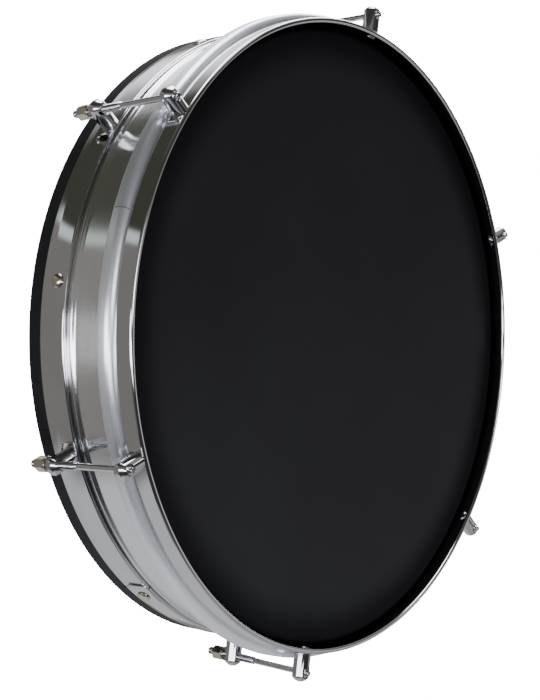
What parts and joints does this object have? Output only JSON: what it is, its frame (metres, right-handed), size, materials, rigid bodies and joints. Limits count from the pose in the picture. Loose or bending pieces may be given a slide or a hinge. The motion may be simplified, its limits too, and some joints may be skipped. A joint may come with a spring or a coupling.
{
  "type": "surdo",
  "caption": "Shallow single-headed surdo: bright metal shell open at the rear, black head, flat counterhoop and external tension rods with hex nuts.",
  "frame": {"origin": "middle of the rear rim, in the plane of the rubber edge trim that the drum rests on", "axes": "+Z along the drum axis towards the head; +X through the first lug"},
  "size_m": [0.5158, 0.4836, 0.1026],
  "materials": {
    "chrome": "polished",
    "polished_aluminium": "polished",
    "satin_aluminium": "satin",
    "black_rubber": "matte",
    "black_head": "satin",
    "plated_steel": "yellow passivated"
  },
  "bodies": {
    "shell_body": {"shell": "polished_aluminium", "rear_ring": "chrome", "ring_splice": "chrome", "rear_edge_trim": "black_rubber", "head_skin": "black_head", "rear_post_1": "chrome", "rear_post_2": "chrome", "rear_post_3": "chrome", "rear_post_4": "chrome", "rear_post_5": "chrome", "rear_post_6": "chrome", "rear_screw_1": "chrome", "rear_screw_2": "chrome", "rear_screw_3": "chrome", "rear_screw_4": "chrome", "rear_screw_5": "chrome", "rear_screw_6": "chrome", "washer_1": "plated_steel", "washer_2": "plated_steel", "washer_3": "plated_steel", "washer_4": "plated_steel", "washer_5": "plated_steel", "washer_6": "plated_steel", "rivet_1": "plated_steel", "rivet_2": "plated_steel", "rivet_3": "plated_steel", "rivet_4": "plated_steel", "rivet_5": "plated_steel", "rivet_6": "plated_steel"},
    "hoop": {"flesh_hoop": "satin_aluminium", "counterhoop": "chrome", "front_post_1": "chrome", "front_post_2": "chrome", "front_post_3": "chrome", "front_post_4": "chrome", "front_post_5": "chrome", "front_post_6": "chrome", "front_screw_1": "chrome", "front_screw_2": "chrome", "front_screw_3": "chrome", "front_screw_4": "chrome", "front_screw_5": "chrome", "front_screw_6": "chrome", "tension_rod_1": "chrome", "tension_rod_2": "chrome", "tension_rod_3": "chrome", "tension_rod_4": "chrome", "tension_rod_5": "chrome", "tension_rod_6": "chrome"},
    "nut_1": {"hex_nut_1": "plated_steel"},
    "nut_2": {"hex_nut_2": "plated_steel"},
    "nut_3": {"hex_nut_3": "plated_steel"},
    "nut_4": {"hex_nut_4": "plated_steel"},
    "nut_5": {"hex_nut_5": "plated_steel"},
    "nut_6": {"hex_nut_6": "plated_steel"}
  },
  "joints": [
    {"name": "hoop_travel", "type": "slide", "parent": "shell_body", "child": "hoop", "axis": [0, 0, 1], "range_m": [-0.004, 0.003]},
    {"name": "nut_turn_1", "type": "hinge", "parent": "shell_body", "child": "nut_1", "pos_m": [0.2465, 0, 0.028], "axis": [0.0615, -0.0329, 0.9976], "range_deg": [-1090, 1450]},
    {"name": "nut_turn_2", "type": "hinge", "parent": "shell_body", "child": "nut_2", "pos_m": [0.12325, 0.21348, 0.028], "axis": [0.0592, 0.0368, 0.9976], "range_deg": [-1090, 1450]},
    {"name": "nut_turn_3", "type": "hinge", "parent": "shell_body", "child": "nut_3", "pos_m": [-0.12325, 0.21348, 0.028], "axis": [-0.0023, 0.0696, 0.9976], "range_deg": [-1090, 1450]},
    {"name": "nut_turn_4", "type": "hinge", "parent": "shell_body", "child": "nut_4", "pos_m": [-0.2465, 0, 0.028], "axis": [-0.0615, 0.0329, 0.9976], "range_deg": [-1090, 1450]},
    {"name": "nut_turn_5", "type": "hinge", "parent": "shell_body", "child": "nut_5", "pos_m": [-0.12325, -0.21348, 0.028], "axis": [-0.0592, -0.0368, 0.9976], "range_deg": [-1090, 1450]},
    {"name": "nut_turn_6", "type": "hinge", "parent": "shell_body", "child": "nut_6", "pos_m": [0.12325, -0.21348, 0.028], "axis": [0.0023, -0.0696, 0.9976], "range_deg": [-1090, 1450]}
  ],
  "couplings": [
    {"joint": "nut_turn_1", "follows": "hoop_travel", "rad_per_m": -6283.2},
    {"joint": "nut_turn_2", "follows": "hoop_travel", "rad_per_m": -6283.2},
    {"joint": "nut_turn_3", "follows": "hoop_travel", "rad_per_m": -6283.2},
    {"joint": "nut_turn_4", "follows": "hoop_travel", "rad_per_m": -6283.2},
    {"joint": "nut_turn_5", "follows": "hoop_travel", "rad_per_m": -6283.2},
    {"joint": "nut_turn_6", "follows": "hoop_travel", "rad_per_m": -6283.2}
  ]
}
